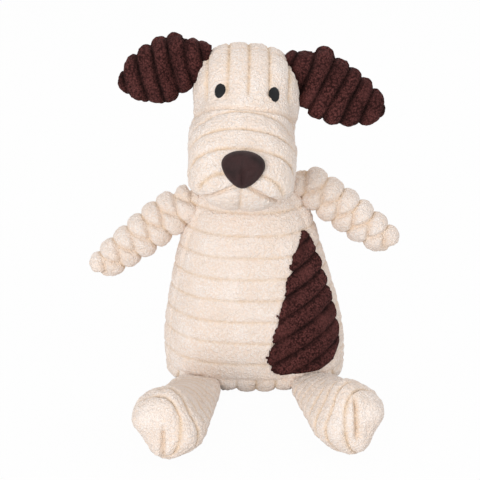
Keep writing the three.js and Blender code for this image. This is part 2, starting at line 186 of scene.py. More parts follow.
class PlushSizes(bpy.types.PropertyGroup):
    """Sizes of the wales, the stuffing and the cover cloth."""

    cloth_step: FloatProperty(
        name="Cloth step", description="Grid of the cover cloth before it is rounded",
        default=3 * MM, unit="LENGTH")
    torso_step: FloatProperty(
        name="Torso step", description="Grid of the torso's cloth before it is rounded",
        default=3.6 * MM, unit="LENGTH")
    cover: FloatProperty(
        name="Cover", description="Thickness of the cover cloth", default=2.2 * MM, unit="LENGTH")
    pressure: FloatProperty(
        name="Pressure", description="How hard the stuffing presses on the cover", default=4.0)
    swell: FloatProperty(
        name="Swell", description="Most that the stuffing moves the cover", default=2.0 * MM,
        unit="LENGTH")
    draw_in: FloatProperty(
        name="Draw in", description="How far the cover starts inside the solid", default=1.6 * MM,
        unit="LENGTH")
    stuffing_steps: IntProperty(
        name="Stuffing steps", description="Steps of the stuffing run", default=20)
    torso_pitch: FloatProperty(
        name="Torso wale", description="Width of a wale on the torso", default=15.2 * MM, unit="LENGTH")
    base_pitch: FloatProperty(
        name="Base wale", description="Width of a wale under the base", default=14 * MM, unit="LENGTH")
    patch_pitch: FloatProperty(
        name="Patch wale", description="Width of a wale on the patch", default=12.8 * MM, unit="LENGTH")
    forehead_pitch: FloatProperty(
        name="Forehead wale", description="Width of a wale on the forehead", default=13.2 * MM,
        unit="LENGTH")
    muzzle_pitch: FloatProperty(
        name="Muzzle wale", description="Width of a wale on the muzzle", default=14 * MM, unit="LENGTH")
    limb_pitch: FloatProperty(
        name="Limb wale", description="Width of a wale on an arm", default=14 * MM, unit="LENGTH")
    leg_pitch: FloatProperty(
        name="Leg wale", description="Width of a wale on a leg", default=10.5 * MM, unit="LENGTH")
    ear_pitch: FloatProperty(
        name="Ear wale", description="Width of a wale on an ear", default=11.3 * MM, unit="LENGTH")
    body_wale: FloatProperty(
        name="Body wale height", description="Height of the flat wales of torso and head",
        default=2.2 * MM, unit="LENGTH")
    limb_wale: FloatProperty(
        name="Limb wale height", description="Height of the round wales of arms and legs",
        default=4.4 * MM, unit="LENGTH")
    brown_wale: FloatProperty(
        name="Brown wale height", description="Height of the wales of ears and patch",
        default=3.4 * MM, unit="LENGTH")
    pile: FloatProperty(
        name="Pile", description="Unevenness of the pile", default=0.5 * MM, unit="LENGTH")


class PlushColours(bpy.types.PropertyGroup):
    """Colours of the cloths, with painted highlights on the pile's tips and painted shade in its grooves,
    the fill and the stage.
    """

    cream: FloatVectorProperty(
        name="Cream", description="Cream pile", default=shade(237, 218, 203), subtype="COLOR")
    # Painted highlight: the lighter tips of the cream pile stand in for light catching the tufts.
    cream_tip_highlight: FloatVectorProperty(
        name="Cream tip", description="Tips of the cream pile", default=shade(251, 243, 238),
        subtype="COLOR")
    # Painted shade: the cream groove colour stands for shade between the wales, on the cloth's own
    # yellower tone there.
    cream_groove_shade: FloatVectorProperty(
        name="Cream groove", description="Between the cream wales", default=shade(231, 204, 174),
        subtype="COLOR")
    brown: FloatVectorProperty(
        name="Brown", description="Brown pile", default=shade(40, 16, 15), subtype="COLOR")
    # Painted highlight: the lighter tips of the brown pile stand in for light catching the tufts.
    brown_tip_highlight: FloatVectorProperty(
        name="Brown tip", description="Tips of the brown pile", default=shade(112, 64, 61),
        subtype="COLOR")
    # Painted shade: the darker brown groove colour stands for shade between the wales.
    brown_groove_shade: FloatVectorProperty(
        name="Brown groove", description="Between the brown wales", default=shade(22, 8, 7),
        subtype="COLOR")
    nose: FloatVectorProperty(
        name="Nose", description="Smooth nose cloth", default=shade(46, 27, 27), subtype="COLOR")
    eye: FloatVectorProperty(
        name="Eye", description="Eye thread", default=shade(17, 18, 21), subtype="COLOR")
    fill: FloatVectorProperty(
        name="Fill", description="Fibre fill", default=shade(244, 244, 241), subtype="COLOR")
    plastic: FloatVectorProperty(
        name="Plastic", description="Squeaker plastic", default=shade(226, 232, 234), subtype="COLOR")
    floor: FloatVectorProperty(
        name="Floor", description="Studio floor", default=(0.75, 0.75, 0.75), subtype="COLOR")


def sizes():
    return bpy.context.scene.plush_sizes


def colours():
    return bpy.context.scene.plush_colours


# Meshes as arrays

def points_of(mesh):
    places = np.empty(len(mesh.vertices) * 3, np.float32)
    mesh.vertices.foreach_get("co", places)
    return places.reshape(-1, 3).astype(float)


def normals_of(mesh):
    aims = np.empty(len(mesh.vertices) * 3, np.float32)
    mesh.vertices.foreach_get("normal", aims)
    return aims.reshape(-1, 3).astype(float)


def move_points(mesh, places):
    mesh.vertices.foreach_set("co", places.astype(np.float32).ravel())
    mesh.update()


def keep_numbers(mesh, name, numbers):
    kind = "FLOAT" if numbers.ndim == 1 else "FLOAT_VECTOR"
    held = mesh.attributes.new(name, kind, "POINT")
    held.data.foreach_set("value" if numbers.ndim == 1 else "vector", numbers.astype(np.float32).ravel())


def node_points(*nodes):
    return np.vstack([points_of(frame["nodes"][node].data) for node in nodes])


# Stuffed forms

def put(name, bm):
    """A bmesh as a new object at the origin."""
    mesh = bpy.data.meshes.new(name)
    bm.to_mesh(mesh)
    bm.free()
    piece = bpy.data.objects.new(name, mesh)
    bpy.context.scene.collection.objects.link(piece)
    return piece


def drop(piece):
    mesh = piece.data
    bpy.data.objects.remove(piece)
    bpy.data.meshes.remove(mesh)


def bake(piece):
    """Applies the modifiers."""
    graph = bpy.context.evaluated_depsgraph_get()
    made = bpy.data.meshes.new_from_object(piece.evaluated_get(graph))
    plain = piece.data
    piece.modifiers.clear()
    piece.data = made
    bpy.data.meshes.remove(plain)


def add_hull(bm, points):
    made = [bm.verts.new(p) for p in points]
    hull = bmesh.ops.convex_hull(bm, input=made)
    spare = {g for g in hull["geom_interior"] + hull["geom_unused"] if isinstance(g, bmesh.types.BMVert)}
    bmesh.ops.delete(bm, geom=list(spare), context="VERTS")


def stuff(piece):
    """Presses the cover out from inside, as stuffing does, by no more than the swell."""
    size = sizes()
    scene = bpy.context.scene
    rest = points_of(piece.data)
    cloth = piece.modifiers.new("stuffing", "CLOTH")
    cloth.settings.use_pressure = True
    cloth.settings.uniform_pressure_force = size.pressure
    cloth.settings.effector_weights.gravity = 0
    cloth.point_cache.frame_start = 1
    cloth.point_cache.frame_end = size.stuffing_steps
    for step in range(1, size.stuffing_steps + 1):
        scene.frame_set(step)
    graph = bpy.context.evaluated_depsgraph_get()
    made = piece.evaluated_get(graph)
    moved = points_of(made.data) - rest
    piece.modifiers.remove(cloth)
    scene.frame_set(1)
    far = np.linalg.norm(moved, axis=1, keepdims=True)
    moved *= np.minimum(1, size.swell / np.maximum(far, 1e-9))
    move_points(piece.data, rest + moved)


def stuffed(name, *groups, step=None, draw_in=None, eased=6, rounds=2, swollen=True):
    """A stuffed skin over one or more rounded hulls."""
    size = sizes()
    bm = bmesh.new()
    for points in groups:
        add_hull(bm, points)
    piece = put(name, bm)
    even = piece.modifiers.new("even", "REMESH")
    even.mode = "VOXEL"
    even.voxel_size = size.cloth_step if step is None else step
    ease = piece.modifiers.new("ease", "SMOOTH")
    ease.factor = 0.5
    ease.iterations = eased
    bake(piece)
    inward = size.draw_in if draw_in is None else draw_in
    move_points(piece.data, points_of(piece.data) - normals_of(piece.data) * inward)
    if swollen:
        stuff(piece)
    if rounds:
        finer = piece.modifiers.new("rounded", "SUBSURF")
        finer.levels = finer.render_levels = rounds
        bake(piece)
    return piece


# Wales and pile

def wales(along, pitch, start, flatness, width=1.0 * MM):
    """Height from 0 to 1 across each wale, and how deep in a groove each place is."""
    turn = (along - start) / pitch
    across = np.abs(2 * (turn - np.floor(turn)) - 1)
    rise = np.sqrt(np.clip(1 - across ** flatness, 0, 1))
    from_groove = (1 - across) * pitch / 2
    return rise, np.exp(-((from_groove / width) ** 2))


def sway(points, wave, reach):
    """A slow drift, so that no wale runs dead straight."""
    x, y, z = (points / wave).T
    drift = np.sin(x + 1.3 * y + 0.4) + np.sin(1.7 * z - 0.8 * x + 2.1) + np.sin(1.1 * y + 0.6 * z)
    return reach * drift / 3


def lumps(points, grain):
    """Noise at each point, in lumps of the grain's size."""
    return np.array([noise.noise(Vector(p) / grain) for p in points])


def pile(points, depth):
    """Tufts of the pile: a fine and a coarse unevenness."""
    return depth * (1.1 * lumps(points, FINE_TUFT) + 0.9 * lumps(points, COARSE_TUFT))


def apart(points, place, aim):
    """How far each point lies beyond a plane."""
    return (points - np.array(place)) @ np.array(aim)


def seam(distance, width):
    """1 on a line and nearly 0 beyond twice the width to either side."""
    return np.exp(-((distance / width) ** 2))


def ramp(distance, start, reach):
    """Rises from 0 at the start to 1 a reach further on."""
    return np.clip((distance - start) / reach, 0, 1)


def dress(piece, rise, groove, cover=None, shift=None):
    """Keeps the outer and inner faces of the cloth with the skin, for its panels to take.
    The shift carries a curved seam to the plane that cuts it."""
    points, normals = points_of(piece.data), normals_of(piece.data)
    outer = points + normals * rise[:, None]
    inner = points - normals * (sizes().cover if cover is None else cover)
    for side in (outer, inner):
        side[:, 2] = np.maximum(side[:, 2], NEAR_FLOOR)
    keep_numbers(piece.data, "outer", outer)
    keep_numbers(piece.data, "inner", inner)
    # The groove mask: where the cloth gets the painted shade of the grooves and seam furrows.
    keep_numbers(piece.data, "groove", np.clip(groove, 0, 1))
    keep_numbers(piece.data, "shift", np.zeros_like(points) if shift is None else shift)


def undress(piece):
    for held in ("outer", "inner", "groove", "shift"):
        piece.data.attributes.remove(piece.data.attributes[held])


def cut_away(bm, cuts):
    """Removes what lies beyond each plane."""
    for place, aim in cuts:
        everything = bm.verts[:] + bm.edges[:] + bm.faces[:]
        bmesh.ops.bisect_plane(
            bm, geom=everything, dist=1e-7, plane_co=place, plane_no=aim, clear_outer=True)


def panel(name, skin, cuts, curved_cuts=(), shell=True):
    """One sewn panel: the skin cut by planes, with the cloth's thickness or a flat back."""
    bm = bmesh.new()
    bm.from_mesh(skin.data)
    outer, inner, shift = (bm.verts.layers.float_vector[held] for held in ("outer", "inner", "shift"))
    cut_away(bm, cuts)
    for vert in bm.verts:
        vert.co += vert[shift]
    cut_away(bm, curved_cuts)
    for vert in bm.verts:
        vert.co = vert[outer]
    rim = [edge for edge in bm.edges if edge.is_boundary]
    for edge in rim:
        edge.smooth = False
    if shell:
        wall = bmesh.ops.extrude_face_region(bm, geom=bm.faces[:])
        for item in wall["geom"]:
            if isinstance(item, bmesh.types.BMVert):
                item.co = item[inner]
    else:
        bmesh.ops.holes_fill(bm, edges=rim, sides=0)
    if bm.calc_volume(signed=True) < 0:
        bmesh.ops.reverse_faces(bm, faces=bm.faces[:])
    made = put(name, bm)
    for held in ("outer", "inner", "shift"):
        made.data.attributes.remove(made.data.attributes[held])
    made.data.shade_smooth()
    return made


def finish_cloth(piece, material, node):
    piece.data.materials.append(material)
    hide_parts(node)


# Materials

def new_material(name):
    material = bpy.data.materials.new(name)
    material.use_nodes = True
    tree = material.node_tree
    return material, tree, tree.nodes["Principled BSDF"]


def add_node(tree, kind, **settings):
    made = tree.nodes.new(kind)
    for name, value in settings.items():
        setattr(made, name, value)
    return made


def mixed(tree, share, first, second):
    """A colour between two, each a socket or a plain colour."""
    mix = add_node(tree, "ShaderNodeMix", data_type="RGBA")
    for socket, value in ((mix.inputs[0], share), (mix.inputs[6], first), (mix.inputs[7], second)):
        if isinstance(value, bpy.types.NodeSocket):
            tree.links.new(value, socket)
        elif isinstance(value, float):
            socket.default_value = value
        else:
            socket.default_value = (*value, 1)
    return mix.outputs[2]


def clouds(tree, scale, detail, low, high):
    """Noise on the object's own coordinates, spread between two limits."""
    place = add_node(tree, "ShaderNodeTexCoord")
    cloud = add_node(tree, "ShaderNodeTexNoise")
    cloud.inputs["Scale"].default_value = scale
    cloud.inputs["Detail"].default_value = detail
    tree.links.new(place.outputs["Object"], cloud.inputs["Vector"])
    spread = add_node(tree, "ShaderNodeMapRange")
    spread.inputs["From Min"].default_value = low
    spread.inputs["From Max"].default_value = high
    tree.links.new(cloud.outputs["Fac"], spread.inputs["Value"])
    return spread.outputs["Result"]


def tufts(tree, scale):
    """How far a place is from the middle of its tuft of pile, on a drifting grid of tufts."""
    place = add_node(tree, "ShaderNodeTexCoord")
    drift = add_node(tree, "ShaderNodeTexNoise")
    drift.inputs["Scale"].default_value = scale
    drift.inputs["Detail"].default_value = 2
    tree.links.new(place.outputs["Object"], drift.inputs["Vector"])
    pushed = add_node(tree, "ShaderNodeMix", data_type="VECTOR")
    pushed.inputs[0].default_value = 0.0016
    tree.links.new(place.outputs["Object"], pushed.inputs[4])
    tree.links.new(drift.outputs["Color"], pushed.inputs[5])
    cells = add_node(tree, "ShaderNodeTexVoronoi", feature="SMOOTH_F1")
    cells.inputs["Scale"].default_value = scale
    cells.inputs["Smoothness"].default_value = 0.35
    tree.links.new(pushed.outputs[1], cells.inputs["Vector"])
    spread = add_node(tree, "ShaderNodeMapRange")
    spread.inputs["From Min"].default_value = 0.1
    spread.inputs["From Max"].default_value = 0.75
    tree.links.new(cells.outputs["Distance"], spread.inputs["Value"])
    return spread.outputs["Result"]


def scaled(tree, value, factor):
    """A value times a plain number or another value."""
    times = add_node(tree, "ShaderNodeMath", operation="MULTIPLY")
    tree.links.new(value, times.inputs[0])
    if isinstance(factor, bpy.types.NodeSocket):
        tree.links.new(factor, times.inputs[1])
    else:
        times.inputs[1].default_value = factor
    return times.outputs["Value"]


def bumped(tree, shader, height, distance, strength):
    bump = add_node(tree, "ShaderNodeBump")
    bump.inputs["Distance"].default_value = distance
    bump.inputs["Strength"].default_value = strength
    tree.links.new(height, bump.inputs["Height"])
    tree.links.new(bump.outputs["Normal"], shader.inputs["Normal"])


def corduroy(name, pile_colour, groove_shade_colour, tip_highlight, sheen):
    """Tufted pile: a painted highlight bright at the tips, the plain pile colour between the tufts and
    painted shade deepest in the grooves.
    """
    material, tree, shader = new_material(name)
    groove = add_node(tree, "ShaderNodeAttribute", attribute_name="groove")
    tuft = tufts(tree, scale=680)
    patches = clouds(tree, scale=60, detail=3, low=0.35, high=0.7)
    # Painted highlight for the tuft tips, spread in random patches.
    wear_and_highlight = mixed(tree, scaled(tree, patches, 0.5), tip_highlight, pile_colour)
    depth = scaled(tree, tuft, clouds(tree, scale=45, detail=2, low=0.02, high=0.5))
    # The tufts' middles take the painted highlight, and their edges keep the pile colour.
    tufted = mixed(tree, depth, wear_and_highlight, pile_colour)
    # Painted shade in the grooves and seam furrows, patchy at random, on the cream's own yellower tone
    # there.
    patchy_groove_shade = scaled(tree, groove.outputs["Fac"], clouds(tree, scale=90, detail=3, low=0.05, high=0.6))
    tone = mixed(tree, scaled(tree, patchy_groove_shade, 0.85), tufted, groove_shade_colour)
    tree.links.new(tone, shader.inputs["Base Color"])
    shader.inputs["Roughness"].default_value = 0.95
    shader.inputs["Specular IOR Level"].default_value = 0.15
    shader.inputs["Sheen Weight"].default_value = sheen
    shader.inputs["Sheen Roughness"].default_value = 0.5
    shader.inputs["Sheen Tint"].default_value = (*tip_highlight, 1)
    bumped(tree, shader, tuft, distance=-0.8 * MM, strength=0.8)
    return material


def smooth_cloth(name, colour, weave, sheen, roughness):
    """Close cloth or thread with a fine grain."""
    material, tree, shader = new_material(name)
    darker = tuple(0.6 * c for c in colour)
    grain = clouds(tree, scale=weave, detail=2, low=0.3, high=0.7)
    cloud = clouds(tree, scale=110, detail=2, low=0.38, high=0.62)
    # Random lighter and darker clouds of the cloth's own tone.
    wear_and_highlight = mixed(tree, cloud, tuple(0.65 * c for c in colour), tuple(1.6 * c for c in colour))
    tone = mixed(tree, scaled(tree, grain, 0.5), wear_and_highlight, darker)
    tree.links.new(tone, shader.inputs["Base Color"])
    shader.inputs["Roughness"].default_value = roughness
    shader.inputs["Specular IOR Level"].default_value = 0.25
    shader.inputs["Sheen Weight"].default_value = sheen
    shader.inputs["Sheen Roughness"].default_value = 0.4
    bumped(tree, shader, grain, distance=0.25 * MM, strength=0.5)
    return material


def fibre():
    material, tree, shader = new_material("fibre_wad")
    matted = tuple(0.82 * c for c in colours().fill)
    tone = mixed(tree, clouds(tree, scale=260, detail=5, low=0.3, high=0.7), colours().fill, matted)
    tree.links.new(tone, shader.inputs["Base Color"])
    shader.inputs["Roughness"].default_value = 0.9
    shader.inputs["Sheen Weight"].default_value = 0.4
    wisps = clouds(tree, scale=420, detail=6, low=0.2, high=0.8)
    bumped(tree, shader, wisps, distance=0.8 * MM, strength=0.9)
    return material


def moulded(name, colour):
    material, tree, shader = new_material(name)
    milky = clouds(tree, scale=40, detail=2, low=0.3, high=0.7)
    tone = mixed(tree, milky, colour, tuple(0.93 * c for c in colour))
    tree.links.new(tone, shader.inputs["Base Color"])
    shader.inputs["Roughness"].default_value = 0.42
    grain = clouds(tree, scale=1500, detail=2, low=0.3, high=0.7)
    bumped(tree, shader, grain, distance=0.05 * MM, strength=0.3)
    return material


def shared(name):
    """A cloth that several pieces use, made at its first use."""
    if name in bpy.data.materials:
        return bpy.data.materials[name]
    tone = colours()
    if name == "cream_wale_cloth":
        return corduroy(name, tone.cream, tone.cream_groove_shade, tone.cream_tip_highlight, sheen=0.12)
    if name == "brown_wale_cloth":
        return corduroy(name, tone.brown, tone.brown_groove_shade, tone.brown_tip_highlight, sheen=0.08)
    raise RuntimeError("no cloth named " + name)


def cream_cloth(piece, node):
    finish_cloth(piece, shared("cream_wale_cloth"), node)


def brown_cloth(piece, node):
    finish_cloth(piece, shared("brown_wale_cloth"), node)


# Torso

def patch_edges():
    """The patch's outline as planes seen from the front: a place and the way out."""
    low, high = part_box("belly_patch")
    foot, head = low.z, high.z
    inner, outer, middle = low.x, high.x, (head + foot) / 2
    corners = [
        (PATCH_TOP, head), (PATCH_TOP - 5 * MM, head - 10 * MM),
        (inner + 0.8 * MM, foot + 12 * MM), (inner + 3 * MM, foot + 4 * MM), (inner + 10 * MM, foot),
        (outer - 16 * MM, foot), (outer - 6 * MM, foot + 4 * MM),
        (outer - 1 * MM, foot + 13 * MM), (outer - 1 * MM, foot + 24 * MM),
        (outer - 4.5 * MM, middle), (outer - 13 * MM, middle + 24 * MM), (outer - 25 * MM, head - 2 * MM),
    ]
    edges = []
    for (x, z), (next_x, next_z) in zip(corners, corners[1:] + corners[:1]):
        out = Vector((z - next_z, 0, next_x - x)).normalized()
        edges.append((Vector((x, 0, z)), -out))
    return edges


def patch_reach(points):
    """How far inside the patch's outline each point lies, seen from the front. Positive is inside."""
    inside = np.min([-apart(points, place, aim) for place, aim in patch_edges()], axis=0)
    return np.where(apart(points, TORSO_SEAM, TORSO_SEAM_AIM) < 0, inside, -1)


def torso_skin():
    """The torso's skin, a little hollow under the left arm."""
    cloud = node_points("torso_front_panel", "torso_back_panel", "base_panel")
    skin = stuffed("torso_skin", cloud, step=sizes().torso_step)
    points = points_of(skin.data)
    leftward = ramp(points[:, 0], start=15 * MM, reach=25 * MM)
    flank = leftward * seam(points[:, 2] - FLANK_HEIGHT, 38 * MM)
    points[:, 0] -= FLANK_HOLLOW * flank
    move_points(skin.data, points)
    return skin


class PLUSH_OT_torso(bpy.types.Operator):
    """Sews the torso's front, back and base panels and the brown belly patch"""

    bl_idname = "plush.torso"
    bl_label = "Torso"

    def execute(self, context):
        size = sizes()
        skin = torso_skin()
        points = points_of(skin.data)
        self.cream_panels(skin, points, size)
        self.patch(skin, points, size)
        drop(skin)
        return {"FINISHED"}

    def cream_panels(self, skin, points, size):
        drift = sway(points, wave=38 * MM, reach=1.0 * MM)
        flat, flat_groove = wales(points[:, 2] + drift, size.torso_pitch, start=98.9 * MM, flatness=5)
        under, under_groove = wales(points[:, 0] + drift, size.base_pitch, start=0, flatness=2.5)
        above_base = apart(points, BASE_SEAM, UP)
        on_base = above_base < 0
        rise = np.where(on_base, under * size.limb_wale * 0.8, flat * size.body_wale * 0.8)
        groove = np.where(on_base, under_groove, 0.65 * flat_groove)
        side_seam = seam(apart(points, TORSO_SEAM, TORSO_SEAM_AIM), TORSO_STITCH) * (above_base > 0)
        stitched = np.maximum(side_seam, seam(above_base, TORSO_STITCH))
        rise = rise * (1 - 0.4 * stitched) - 0.2 * MM * stitched + pile(points, size.pile)
        # The seams take a little painted shade, as in a furrow.
        groove = np.maximum(groove, 0.15 * stitched)
        under_patch = ramp(patch_reach(points), start=0, reach=2 * MM)
        rise = rise * (1 - under_patch)
        dress(skin, rise, groove)
        above = (BASE_SEAM, -UP)
        for name, cuts in (
            ("torso_front_panel", [above, (TORSO_SEAM, TORSO_SEAM_AIM)]),
            ("torso_back_panel", [above, (TORSO_SEAM, -TORSO_SEAM_AIM)]),
            ("base_panel", [(BASE_SEAM, UP)]),
        ):
            made = panel(name + "_cover", skin, cuts)
            cream_cloth(made, name)
            if name == "torso_back_panel":
                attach(made, "torso")
            else:
                press(made)

    def patch(self, skin, points, size):
        undress(skin)
        along = -points[:, 0] * math.sin(PATCH_LAY) + points[:, 2] * math.cos(PATCH_LAY)
        along = along + sway(points, wave=30 * MM, reach=0.8 * MM)
        rise, groove = wales(along, size.patch_pitch, start=2 * MM, flatness=2.2, width=1.7 * MM)
        inside = patch_reach(points)
        hem = ramp(inside, start=0, reach=3 * MM)
        height = PATCH_BASE + rise * size.brown_wale * (0.45 + 0.55 * hem) + pile(points, size.pile)
        ragged = np.zeros_like(points)
        ragged[:, 0] = (rise - 0.7) * PATCH_RAGGED + pile(points, PATCH_FUZZ)
        dress(skin, height, groove, cover=-0.3 * MM, shift=ragged)
        made = panel("belly_patch_cover", skin, [(TORSO_SEAM, TORSO_SEAM_AIM)], patch_edges())
        brown_cloth(made, "belly_patch")
        press(made)


def press(piece):
    """Bakes a belly piece's place into its mesh."""
    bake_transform(piece)


# Head

def head_frame():
    return Matrix.Translation(hinges["head"]) @ Matrix.Rotation(HEAD_ROLL, 4, "Y")


def in_head(points):
    """Points as the head sees them, from its pivot and upright."""
    turn = np.array(head_frame().inverted())
    return points @ turn[:3, :3].T + turn[:3, 3]


def from_head(place):
    return head_frame() @ Vector(place)


def head_aim(aim):
    return head_frame().to_3x3() @ Vector(aim)


class PLUSH_OT_head(bpy.types.Operator):
    """Sews the head's forehead, muzzle, chin and back panels and the neck"""

    bl_idname = "plush.head"
    bl_label = "Head"

    def execute(self, context):
        size = sizes()
        skin = self.skin()
        self.relief(skin, size)
        self.panels(skin)
        drop(skin)
        self.neck(size)
        return {"FINISHED"}

    def skin(self):
        """The crown and the snout, with the brow that joins them."""
        crown = node_points("forehead_panel", "head_back_panel")
        snout = node_points("muzzle_panel", "chin_panel")
        around = np.vstack([crown, snout])
        brow = around[np.abs(apart(in_head(around), BROW_SEAM, BROW_AIM)) < BROW_BAND]
        return stuffed("head_skin", crown, snout, brow, eased=14)

    def relief(self, skin, size):
        """Wales up the forehead, arched over the muzzle and few on the chin, with the seams between."""
        points = in_head(points_of(skin.data))
        off_middle = np.abs(points[:, 0])
        side = apart(points, HEAD_SEAM, AHEAD)
        brow = apart(points, BROW_SEAM, BROW_AIM)
        mouth = apart(points, MOUTH_SEAM, UP) + MOUTH_FALL * off_middle
        in_front = side > 0
        on_muzzle = in_front & (brow < 0) & (mouth > 0)
        on_chin = in_front & (brow < 0) & (mouth < 0)
        drift = sway(points, wave=34 * MM, reach=0.8 * MM)
        tall, tall_groove = wales(
            points[:, 0] + drift, size.forehead_pitch, start=0, flatness=3.4, width=1.3 * MM)
        above_brow = ramp(brow, start=5 * MM, reach=8 * MM)
        above_brow[side <= 0] = 1
        tall, tall_groove = 1 - (1 - tall) * above_brow, tall_groove * above_brow
        snout_aim = np.array((0, -math.cos(MUZZLE_TILT), -math.sin(MUZZLE_TILT)))
        arch, arch_groove = wales(
            points @ snout_aim + drift, size.muzzle_pitch, start=3.5 * MM, flatness=3)
        off_mouth = ramp(mouth, start=4 * MM, reach=5 * MM)
        arch, arch_groove = 1 - (1 - arch) * off_mouth, arch_groove * off_mouth
        lip, lip_groove = wales(points[:, 0], 34 * MM, start=0, flatness=3)
        rise = np.select([on_muzzle, on_chin], [arch, lip], tall) * size.body_wale * 1.25
        groove = np.select([on_muzzle, on_chin], [arch_groove, 0.5 * lip_groove], tall_groove)
        stitched = np.maximum.reduce([
            seam(side, HEAD_STITCH), 0.6 * seam(brow, BROW_STITCH) * in_front,
            seam(mouth, HEAD_STITCH) * (in_front & (brow < 0))])
        rise *= np.where(in_front, 1, np.maximum(0.1, ramp(points[:, 2], start=0, reach=16 * MM)))
        pinched = brow + np.where(points[:, 0] > 0, 7 * MM, -4 * MM)
        temple = seam(pinched, 12 * MM) * ramp(off_middle, start=20 * MM, reach=10 * MM)
        rise = rise * (1 - stitched) - 1.0 * MM * stitched - TEMPLE_PINCH * temple
        rise += pile(points, size.pile)
        jowl = seam(mouth - 8 * MM, 9 * MM) * ramp(off_middle, start=12 * MM, reach=14 * MM)
        rise += np.where(on_muzzle, JOWL * jowl, 0)
        fallen = off_middle[:, None] * MOUTH_FALL * np.array(head_aim(UP))
        # The seam furrows take painted shade along with the grooves.
        dress(skin, rise, np.maximum(groove, 0.7 * stitched), shift=fallen)

    def panels(self, skin):
        ahead, brow_out, up = head_aim(AHEAD), head_aim(BROW_AIM), head_aim(UP)
        seam_place, brow_place = from_head(HEAD_SEAM), from_head(BROW_SEAM)
        mouth_place = from_head(MOUTH_SEAM)
        face = [(seam_place, -ahead), (brow_place, brow_out)]
        for name, cuts, curved_cuts in (
            ("head_back_panel", [(seam_place, ahead)], []),
            ("forehead_panel", [(seam_place, -ahead), (brow_place, -brow_out)], []),
            ("muzzle_panel", face, [(mouth_place, -up)]),
            ("chin_panel", face, [(mouth_place, up)]),
        ):
            made = panel(name + "_cover", skin, cuts, curved_cuts)
            cream_cloth(made, name)
            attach(made, "head")

    def neck(self, size):
        skin = stuffed("neck_skin", node_points("neck_collar"), eased=3, swollen=False)
        points = points_of(skin.data)
        off = points - np.array(hinges["neck"])
        gathers, groove = wales(np.arctan2(off[:, 1], off[:, 0]), math.tau / 16, start=0, flatness=2)
        dress(skin, gathers * 0.9 * MM + pile(points, size.pile), groove)
        made = panel("neck_collar_cover", skin, [])
        drop(skin)
        cream_cloth(made, "neck_collar")
        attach(made, "neck")


class PLUSH_OT_face(bpy.types.Operator):
    """Makes the stuffed nose and the two sewn eyes"""

    bl_idname = "plush.face"
    bl_label = "Nose and eyes"

    def execute(self, context):
        self.nose()
        material = smooth_cloth("eye_thread", colours().eye, weave=1600, sheen=0.06, roughness=0.5)
        for side in SIDES:
            self.eye(side + "_eye", material)
        return {"FINISHED"}

    def nose(self):
        bm = bmesh.new()
        bmesh.ops.create_uvsphere(bm, u_segments=72, v_segments=48, radius=1)
        for vert in bm.verts:
            x, y, z = vert.co
            narrow = 1 - NOSE_TAPER * (0.5 - 0.5 * z) ** 1.6
            crease = NOSE_CREASE * seam(x, 0.09) * min(1, max(0, 0.35 - z)) * (y < 0)
            ridge = NOSE_RIDGE * seam(x, 0.3) * max(0, 0.6 + z) * (y < 0)
            dent = NOSE_DENT * noise.noise(vert.co * 2.6)
            deep = y * (1 - crease + ridge + dent)
            tall = z * (0.92 if z > 0 else 1.06)
            vert.co = Vector((x * narrow * NOSE_HALF.x, deep * NOSE_HALF.y, tall * NOSE_HALF.z))
        cut_away(bm, [((0, NOSE_BACK, 0), -AHEAD)])
        bmesh.ops.holes_fill(bm, edges=[e for e in bm.edges if e.is_boundary], sides=0)
        place = head_frame() @ Matrix.Translation(NOSE_PLACE) @ Matrix.Rotation(NOSE_TILT, 4, "X")
        bmesh.ops.transform(bm, matrix=place, verts=bm.verts[:])
        made = put("nose_pad", bm)
        made.data.shade_smooth()
        made.data.materials.append(
            smooth_cloth("nose_cloth", colours().nose, weave=1300, sheen=0.06, roughness=0.7))
        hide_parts("nose")
        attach(made, "head")

    def eye(self, name, material):
        points = node_points(name)
        middle = Vector(points.mean(axis=0))
        thin = Vector(np.linalg.svd(points - np.array(middle))[2][2])
        facing = -thin if thin.y > 0 else thin
        level = head_aim(UP).cross(facing).normalized()
        upright = facing.cross(level)
        lie = self.lie_of_brow(middle, level, upright, facing)
        bm = bmesh.new()
        bmesh.ops.create_uvsphere(bm, u_segments=40, v_segments=24, radius=1)
        for vert in bm.verts:
            x, y, z = vert.co.x * EYE_HALF.x, vert.co.y * EYE_HALF.y, vert.co.z * EYE_HALF.z
            z += float(np.dot(lie, brow_terms(x, y)))
            vert.co = middle + level * x + upright * y + facing * z
        made = put(name + "_stitched", bm)
        made.data.shade_smooth()
        made.data.materials.append(material)
        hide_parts(name)
        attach(made, "head")

    def lie_of_brow(self, middle, level, upright, facing):
        """The smooth lie of the forehead's cloth under an eye, over the eye's own plane."""
        brow = bpy.data.objects["forehead_panel_cover"]
        terms, heights = [], []
        for x in np.linspace(-EYE_HALF.x, EYE_HALF.x, 9):
            for y in np.linspace(-EYE_HALF.y, EYE_HALF.y, 9):
                above = middle + level * x + upright * y + facing * 20 * MM
                met, spot = brow.ray_cast(above, -facing)[:2]
                if met:
                    terms.append(brow_terms(x, y))
                    heights.append((spot - middle).dot(facing))
        return np.linalg.lstsq(np.array(terms), np.array(heights), rcond=None)[0]


def brow_terms(x, y):
    return [1, x, y, x * x, x * y, y * y]


# Ears, arms and legs

def along_limb(body, *nodes):
    """The hinge, the way along the limb, its level cross direction and the third one."""
    middle = Vector(node_points(*nodes).mean(axis=0))
    along = (middle - hinges[body]).normalized()
    across = UP.cross(along).normalized()
    return hinges[body], along, across, along.cross(across)


def rooted(points, hinge, along, inward):
    """Points with the root carried on into what the limb is sewn to."""
    near = points[apart(points, hinge, along) < ROOT_BAND]
    return np.vstack([points, near + np.array(inward)])


